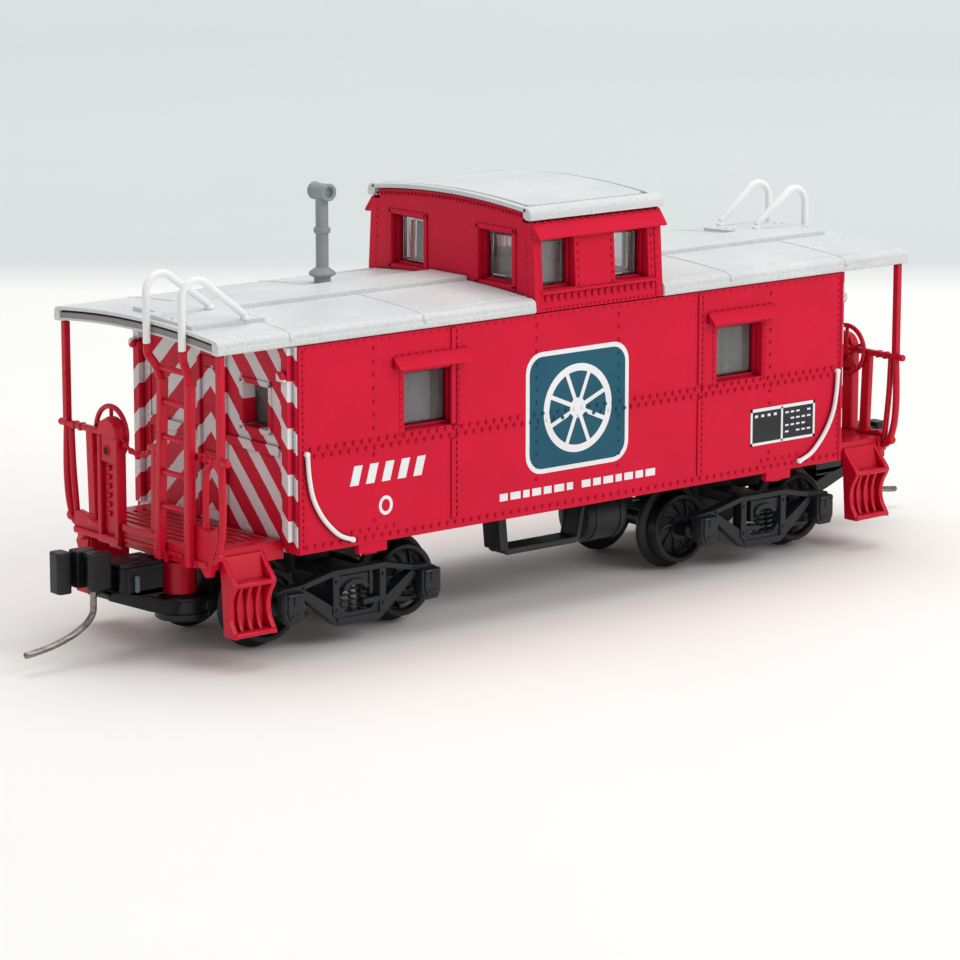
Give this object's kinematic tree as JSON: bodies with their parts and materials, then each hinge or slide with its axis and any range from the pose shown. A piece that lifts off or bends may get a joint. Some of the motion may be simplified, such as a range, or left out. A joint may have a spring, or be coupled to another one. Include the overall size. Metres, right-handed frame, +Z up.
{
  "type": "model caboose",
  "caption": "Small-scale model railway caboose with cupola, railed end platforms, swivelling trucks and swinging knuckle couplers.",
  "frame": {"origin": "centre of the car in plan, on the plane that the wheel flanges stand on", "axes": "+X along the car towards end B, +Y across the car to the far side, +Z up"},
  "size_m": [0.0864, 0.0212, 0.0313],
  "materials": {
    "red_shell": "satin red paint",
    "silver_roof": "satin silver paint",
    "grey_stack": "matt grey paint",
    "white_wire": "satin white",
    "clear_glazing": "clear polished plastic",
    "black_moulding": "matt black acetal",
    "bright_steel": "plain drawn steel"
  },
  "bodies": {
    "car_body": {"body_shell": "red_shell", "cupola_shell": "red_shell", "end_platform_a": "red_shell", "end_platform_b": "red_shell", "end_railing_a": "red_shell", "end_railing_b": "red_shell", "brake_wheel_a": "red_shell", "brake_wheel_b": "red_shell", "main_roof": "silver_roof", "cupola_roof": "silver_roof", "smokejack": "grey_stack", "roof_handrail_a1": "white_wire", "roof_handrail_a2": "white_wire", "roof_handrail_b1": "white_wire", "roof_handrail_b2": "white_wire", "side_grab_a_near": "white_wire", "side_grab_a_far": "white_wire", "side_grab_b_near": "white_wire", "side_grab_b_far": "white_wire", "side_glazing_near_1": "clear_glazing", "side_glazing_near_2": "clear_glazing", "side_glazing_far_1": "clear_glazing", "side_glazing_far_2": "clear_glazing", "end_glazing_a": "clear_glazing", "end_glazing_b": "clear_glazing", "cupola_glazing_near": "clear_glazing", "cupola_glazing_far": "clear_glazing", "cupola_end_glazing_a": "clear_glazing", "cupola_end_glazing_b": "clear_glazing", "underframe": "black_moulding", "kingpin_a": "black_moulding", "kingpin_b": "black_moulding", "ballast_weight": "bright_steel"},
    "truck_a": {"truck_frame_a": "black_moulding", "coupler_cover_a": "black_moulding", "centring_spring_a": "bright_steel"},
    "coupler_a": {"coupler_knuckle_a": "black_moulding"},
    "coupler_jaw_a": {"coupler_lip_a": "black_moulding", "trip_pin_a": "bright_steel"},
    "wheels_a1": {"wheelset_a1": "black_moulding"},
    "wheels_a2": {"wheelset_a2": "black_moulding"},
    "truck_b": {"truck_frame_b": "black_moulding", "coupler_cover_b": "black_moulding", "centring_spring_b": "bright_steel"},
    "coupler_b": {"coupler_knuckle_b": "black_moulding"},
    "coupler_jaw_b": {"coupler_lip_b": "black_moulding", "trip_pin_b": "bright_steel"},
    "wheels_b1": {"wheelset_b1": "black_moulding"},
    "wheels_b2": {"wheelset_b2": "black_moulding"}
  },
  "joints": [
    {"name": "truck_swivel_a", "type": "hinge", "parent": "car_body", "child": "truck_a", "pos_m": [-0.0198, 0, 0.0062], "axis": [0, 0, 1], "range_deg": [-10, 10]},
    {"name": "wheel_spin_a1", "type": "hinge", "parent": "truck_a", "child": "wheels_a1", "pos_m": [-0.02595, 0, 0.0033], "axis": [0, 1, 0], "continuous": true},
    {"name": "wheel_spin_a2", "type": "hinge", "parent": "truck_a", "child": "wheels_a2", "pos_m": [-0.01365, 0, 0.0033], "axis": [0, 1, 0], "continuous": true},
    {"name": "coupler_swing_a", "type": "hinge", "parent": "truck_a", "child": "coupler_a", "pos_m": [-0.034, 0, 0.00569], "axis": [0, 0, 1], "range_deg": [-10, 10], "stiffness_Nm_per_rad": 0.00002},
    {"name": "coupler_jaw_open_a", "type": "hinge", "parent": "coupler_a", "child": "coupler_jaw_a", "pos_m": [-0.034, 0, 0.00569], "axis": [0, 0, 1], "range_deg": [0, 7], "stiffness_Nm_per_rad": 0.00002},
    {"name": "truck_swivel_b", "type": "hinge", "parent": "car_body", "child": "truck_b", "pos_m": [0.0198, 0, 0.0062], "axis": [0, 0, 1], "range_deg": [-10, 10]},
    {"name": "wheel_spin_b1", "type": "hinge", "parent": "truck_b", "child": "wheels_b1", "pos_m": [0.02595, 0, 0.0033], "axis": [0, 1, 0], "continuous": true},
    {"name": "wheel_spin_b2", "type": "hinge", "parent": "truck_b", "child": "wheels_b2", "pos_m": [0.01365, 0, 0.0033], "axis": [0, 1, 0], "continuous": true},
    {"name": "coupler_swing_b", "type": "hinge", "parent": "truck_b", "child": "coupler_b", "pos_m": [0.034, 0, 0.00569], "axis": [0, 0, 1], "range_deg": [-10, 10], "stiffness_Nm_per_rad": 0.00002},
    {"name": "coupler_jaw_open_b", "type": "hinge", "parent": "coupler_b", "child": "coupler_jaw_b", "pos_m": [0.034, 0, 0.00569], "axis": [0, 0, 1], "range_deg": [0, 7], "stiffness_Nm_per_rad": 0.00002}
  ]
}
